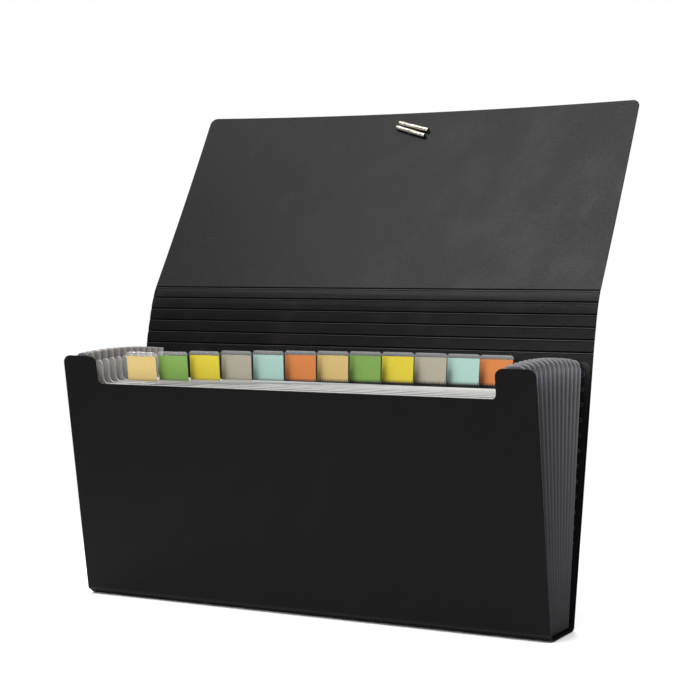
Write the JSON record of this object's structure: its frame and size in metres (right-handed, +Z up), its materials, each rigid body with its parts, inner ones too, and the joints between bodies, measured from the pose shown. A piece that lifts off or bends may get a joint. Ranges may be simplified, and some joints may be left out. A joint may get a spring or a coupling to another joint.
{
  "type": "accordion file folder",
  "caption": "Expanding document wallet with a scored cover, pleated side gussets, tabbed dividers and a folding flap.",
  "frame": {"origin": "middle of the flat underside of the cover's base", "axes": "+X across the folder to the right as seen from its front, +Y from front to back, +Z up"},
  "size_m": [0.26, 0.1474, 0.2572],
  "materials": {
    "black_cover": "fine matt grain",
    "frosted_divider": "frosted",
    "smoke_gusset": "frosted smoke",
    "clear_sleeve": "clear gloss",
    "weld_spot": "melted gloss",
    "nickel_crimp": "bright nickel",
    "black_elastic": "woven matt",
    "card_tan": "uncoated card",
    "card_green": "uncoated card",
    "card_yellow": "uncoated card",
    "card_grey": "uncoated card",
    "card_aqua": "uncoated card",
    "card_orange": "uncoated card"
  },
  "bodies": {
    "base": {"bottom_panel": "black_cover", "front_fold_strip": "black_cover", "pocket_floor": "smoke_gusset", "left_gusset": "smoke_gusset", "right_gusset": "smoke_gusset"},
    "back": {"back_panel": "black_cover", "left_rear_flange": "smoke_gusset", "right_rear_flange": "smoke_gusset", "rear_weld_spots": "weld_spot"},
    "front": {"front_panel": "black_cover", "left_front_flange": "smoke_gusset", "right_front_flange": "smoke_gusset", "front_weld_spots": "weld_spot"},
    "spine_lower": {"hinge_slat_1": "black_cover", "hinge_slat_2": "black_cover", "hinge_slat_3": "black_cover"},
    "spine_upper": {"hinge_slat_4": "black_cover", "hinge_slat_5": "black_cover"},
    "flap": {"flap_panel": "black_cover"},
    "elastic_ends": {"crimp_end_upper": "nickel_crimp", "crimp_end_lower": "nickel_crimp", "elastic_bight": "black_elastic"},
    "divider_01": {"divider_01": "frosted_divider", "tab_sleeve_01": "clear_sleeve"},
    "insert_01": {"tab_insert_01": "card_tan"},
    "divider_02": {"divider_02": "frosted_divider", "tab_sleeve_02": "clear_sleeve"},
    "insert_02": {"tab_insert_02": "card_green"},
    "divider_03": {"divider_03": "frosted_divider", "tab_sleeve_03": "clear_sleeve"},
    "insert_03": {"tab_insert_03": "card_yellow"},
    "divider_04": {"divider_04": "frosted_divider", "tab_sleeve_04": "clear_sleeve"},
    "insert_04": {"tab_insert_04": "card_grey"},
    "divider_05": {"divider_05": "frosted_divider", "tab_sleeve_05": "clear_sleeve"},
    "insert_05": {"tab_insert_05": "card_aqua"},
    "divider_06": {"divider_06": "frosted_divider", "tab_sleeve_06": "clear_sleeve"},
    "insert_06": {"tab_insert_06": "card_orange"},
    "divider_07": {"divider_07": "frosted_divider", "tab_sleeve_07": "clear_sleeve"},
    "insert_07": {"tab_insert_07": "card_tan"},
    "divider_08": {"divider_08": "frosted_divider", "tab_sleeve_08": "clear_sleeve"},
    "insert_08": {"tab_insert_08": "card_green"},
    "divider_09": {"divider_09": "frosted_divider", "tab_sleeve_09": "clear_sleeve"},
    "insert_09": {"tab_insert_09": "card_yellow"},
    "divider_10": {"divider_10": "frosted_divider", "tab_sleeve_10": "clear_sleeve"},
    "insert_10": {"tab_insert_10": "card_grey"},
    "divider_11": {"divider_11": "frosted_divider", "tab_sleeve_11": "clear_sleeve"},
    "insert_11": {"tab_insert_11": "card_aqua"},
    "divider_12": {"divider_12": "frosted_divider", "tab_sleeve_12": "clear_sleeve"},
    "insert_12": {"tab_insert_12": "card_orange"}
  },
  "joints": [
    {"name": "back_fold", "type": "hinge", "parent": "base", "child": "back", "pos_m": [0, 0.0149, 0.00249], "axis": [1, 0, 0], "range_deg": [-2.7, 10.8], "deforming": ["left_gusset", "right_gusset"]},
    {"name": "flap_fold_1", "type": "hinge", "parent": "back", "child": "spine_lower", "pos_m": [0, 0.03937, 0.13078], "axis": [1, 0, 0], "range_deg": [-17.73, 70.92]},
    {"name": "flap_fold_2", "type": "hinge", "parent": "spine_lower", "child": "spine_upper", "pos_m": [0, 0.0439, 0.14913], "axis": [1, 0, 0], "range_deg": [-13.79, 55.16]},
    {"name": "flap_fold_3", "type": "hinge", "parent": "spine_upper", "child": "flap", "pos_m": [0, 0.04849, 0.16085], "axis": [1, 0, 0], "range_deg": [-17.73, 70.92]},
    {"name": "front_fold", "type": "hinge", "parent": "base", "child": "front", "pos_m": [0, -0.01635, 0.0032], "axis": [1, 0, 0], "range_deg": [-11.8, 2.96]},
    {"name": "divider_fold_01", "type": "hinge", "parent": "base", "child": "divider_01", "pos_m": [0, -0.01404, 0.004], "axis": [1, 0, 0], "range_deg": [-10.07, 2.52]},
    {"name": "divider_fold_02", "type": "hinge", "parent": "base", "child": "divider_02", "pos_m": [0, -0.01161, 0.004], "axis": [1, 0, 0], "range_deg": [-8.33, 2.09]},
    {"name": "divider_fold_03", "type": "hinge", "parent": "base", "child": "divider_03", "pos_m": [0, -0.00917, 0.004], "axis": [1, 0, 0], "range_deg": [-6.59, 1.65]},
    {"name": "divider_fold_04", "type": "hinge", "parent": "base", "child": "divider_04", "pos_m": [0, -0.00673, 0.004], "axis": [1, 0, 0], "range_deg": [-4.85, 1.22]},
    {"name": "divider_fold_05", "type": "hinge", "parent": "base", "child": "divider_05", "pos_m": [0, -0.0043, 0.004], "axis": [1, 0, 0], "range_deg": [-3.11, 0.78]},
    {"name": "divider_fold_06", "type": "hinge", "parent": "base", "child": "divider_06", "pos_m": [0, -0.00186, 0.004], "axis": [1, 0, 0], "range_deg": [-1.37, 0.35]},
    {"name": "divider_fold_07", "type": "hinge", "parent": "base", "child": "divider_07", "pos_m": [0, 0.00057, 0.004], "axis": [1, 0, 0], "range_deg": [-0.097, 0.374]},
    {"name": "divider_fold_08", "type": "hinge", "parent": "base", "child": "divider_08", "pos_m": [0, 0.00301, 0.004], "axis": [1, 0, 0], "range_deg": [-0.53, 2.11]},
    {"name": "divider_fold_09", "type": "hinge", "parent": "base", "child": "divider_09", "pos_m": [0, 0.00545, 0.004], "axis": [1, 0, 0], "range_deg": [-0.97, 3.85]},
    {"name": "divider_fold_10", "type": "hinge", "parent": "base", "child": "divider_10", "pos_m": [0, 0.00788, 0.004], "axis": [1, 0, 0], "range_deg": [-1.4, 5.59]},
    {"name": "divider_fold_11", "type": "hinge", "parent": "base", "child": "divider_11", "pos_m": [0, 0.01032, 0.004], "axis": [1, 0, 0], "range_deg": [-1.84, 7.33]},
    {"name": "divider_fold_12", "type": "hinge", "parent": "base", "child": "divider_12", "pos_m": [0, 0.01275, 0.004], "axis": [1, 0, 0], "range_deg": [-2.27, 9.07]},
    {"name": "elastic_end_swivel", "type": "hinge", "parent": "flap", "child": "elastic_ends", "pos_m": [0.002, 0.10406, 0.24709], "axis": [0, -0.8406, 0.5417], "range_deg": [-45, 60]},
    {"name": "tab_slide_01", "type": "slide", "parent": "divider_01", "child": "insert_01", "axis": [1, 0, 0], "range_m": [0, 0.018]},
    {"name": "tab_slide_02", "type": "slide", "parent": "divider_02", "child": "insert_02", "axis": [1, 0, 0], "range_m": [0, 0.018]},
    {"name": "tab_slide_03", "type": "slide", "parent": "divider_03", "child": "insert_03", "axis": [1, 0, 0], "range_m": [0, 0.018]},
    {"name": "tab_slide_04", "type": "slide", "parent": "divider_04", "child": "insert_04", "axis": [1, 0, 0], "range_m": [0, 0.018]},
    {"name": "tab_slide_05", "type": "slide", "parent": "divider_05", "child": "insert_05", "axis": [1, 0, 0], "range_m": [0, 0.018]},
    {"name": "tab_slide_06", "type": "slide", "parent": "divider_06", "child": "insert_06", "axis": [1, 0, 0], "range_m": [0, 0.018]},
    {"name": "tab_slide_07", "type": "slide", "parent": "divider_07", "child": "insert_07", "axis": [1, 0, 0], "range_m": [0, 0.018]},
    {"name": "tab_slide_08", "type": "slide", "parent": "divider_08", "child": "insert_08", "axis": [1, 0, 0], "range_m": [0, 0.018]},
    {"name": "tab_slide_09", "type": "slide", "parent": "divider_09", "child": "insert_09", "axis": [1, 0, 0], "range_m": [0, 0.018]},
    {"name": "tab_slide_10", "type": "slide", "parent": "divider_10", "child": "insert_10", "axis": [1, 0, 0], "range_m": [0, 0.018]},
    {"name": "tab_slide_11", "type": "slide", "parent": "divider_11", "child": "insert_11", "axis": [1, 0, 0], "range_m": [0, 0.018]},
    {"name": "tab_slide_12", "type": "slide", "parent": "divider_12", "child": "insert_12", "axis": [1, 0, 0], "range_m": [0, 0.018]}
  ],
  "couplings": [
    {"joint": "flap_fold_1", "follows": "back_fold", "ratio": 6.5667},
    {"joint": "flap_fold_2", "follows": "back_fold", "ratio": 5.1074},
    {"joint": "flap_fold_3", "follows": "back_fold", "ratio": 6.5667},
    {"joint": "front_fold", "follows": "back_fold", "ratio": -1.0926},
    {"joint": "divider_fold_01", "follows": "back_fold", "ratio": -0.93162},
    {"joint": "divider_fold_02", "follows": "back_fold", "ratio": -0.77065},
    {"joint": "divider_fold_03", "follows": "back_fold", "ratio": -0.60969},
    {"joint": "divider_fold_04", "follows": "back_fold", "ratio": -0.44872},
    {"joint": "divider_fold_05", "follows": "back_fold", "ratio": -0.28775},
    {"joint": "divider_fold_06", "follows": "back_fold", "ratio": -0.12678},
    {"joint": "divider_fold_07", "follows": "back_fold", "ratio": 0.034188},
    {"joint": "divider_fold_08", "follows": "back_fold", "ratio": 0.19516},
    {"joint": "divider_fold_09", "follows": "back_fold", "ratio": 0.35613},
    {"joint": "divider_fold_10", "follows": "back_fold", "ratio": 0.51709},
    {"joint": "divider_fold_11", "follows": "back_fold", "ratio": 0.67806},
    {"joint": "divider_fold_12", "follows": "back_fold", "ratio": 0.83903}
  ]
}
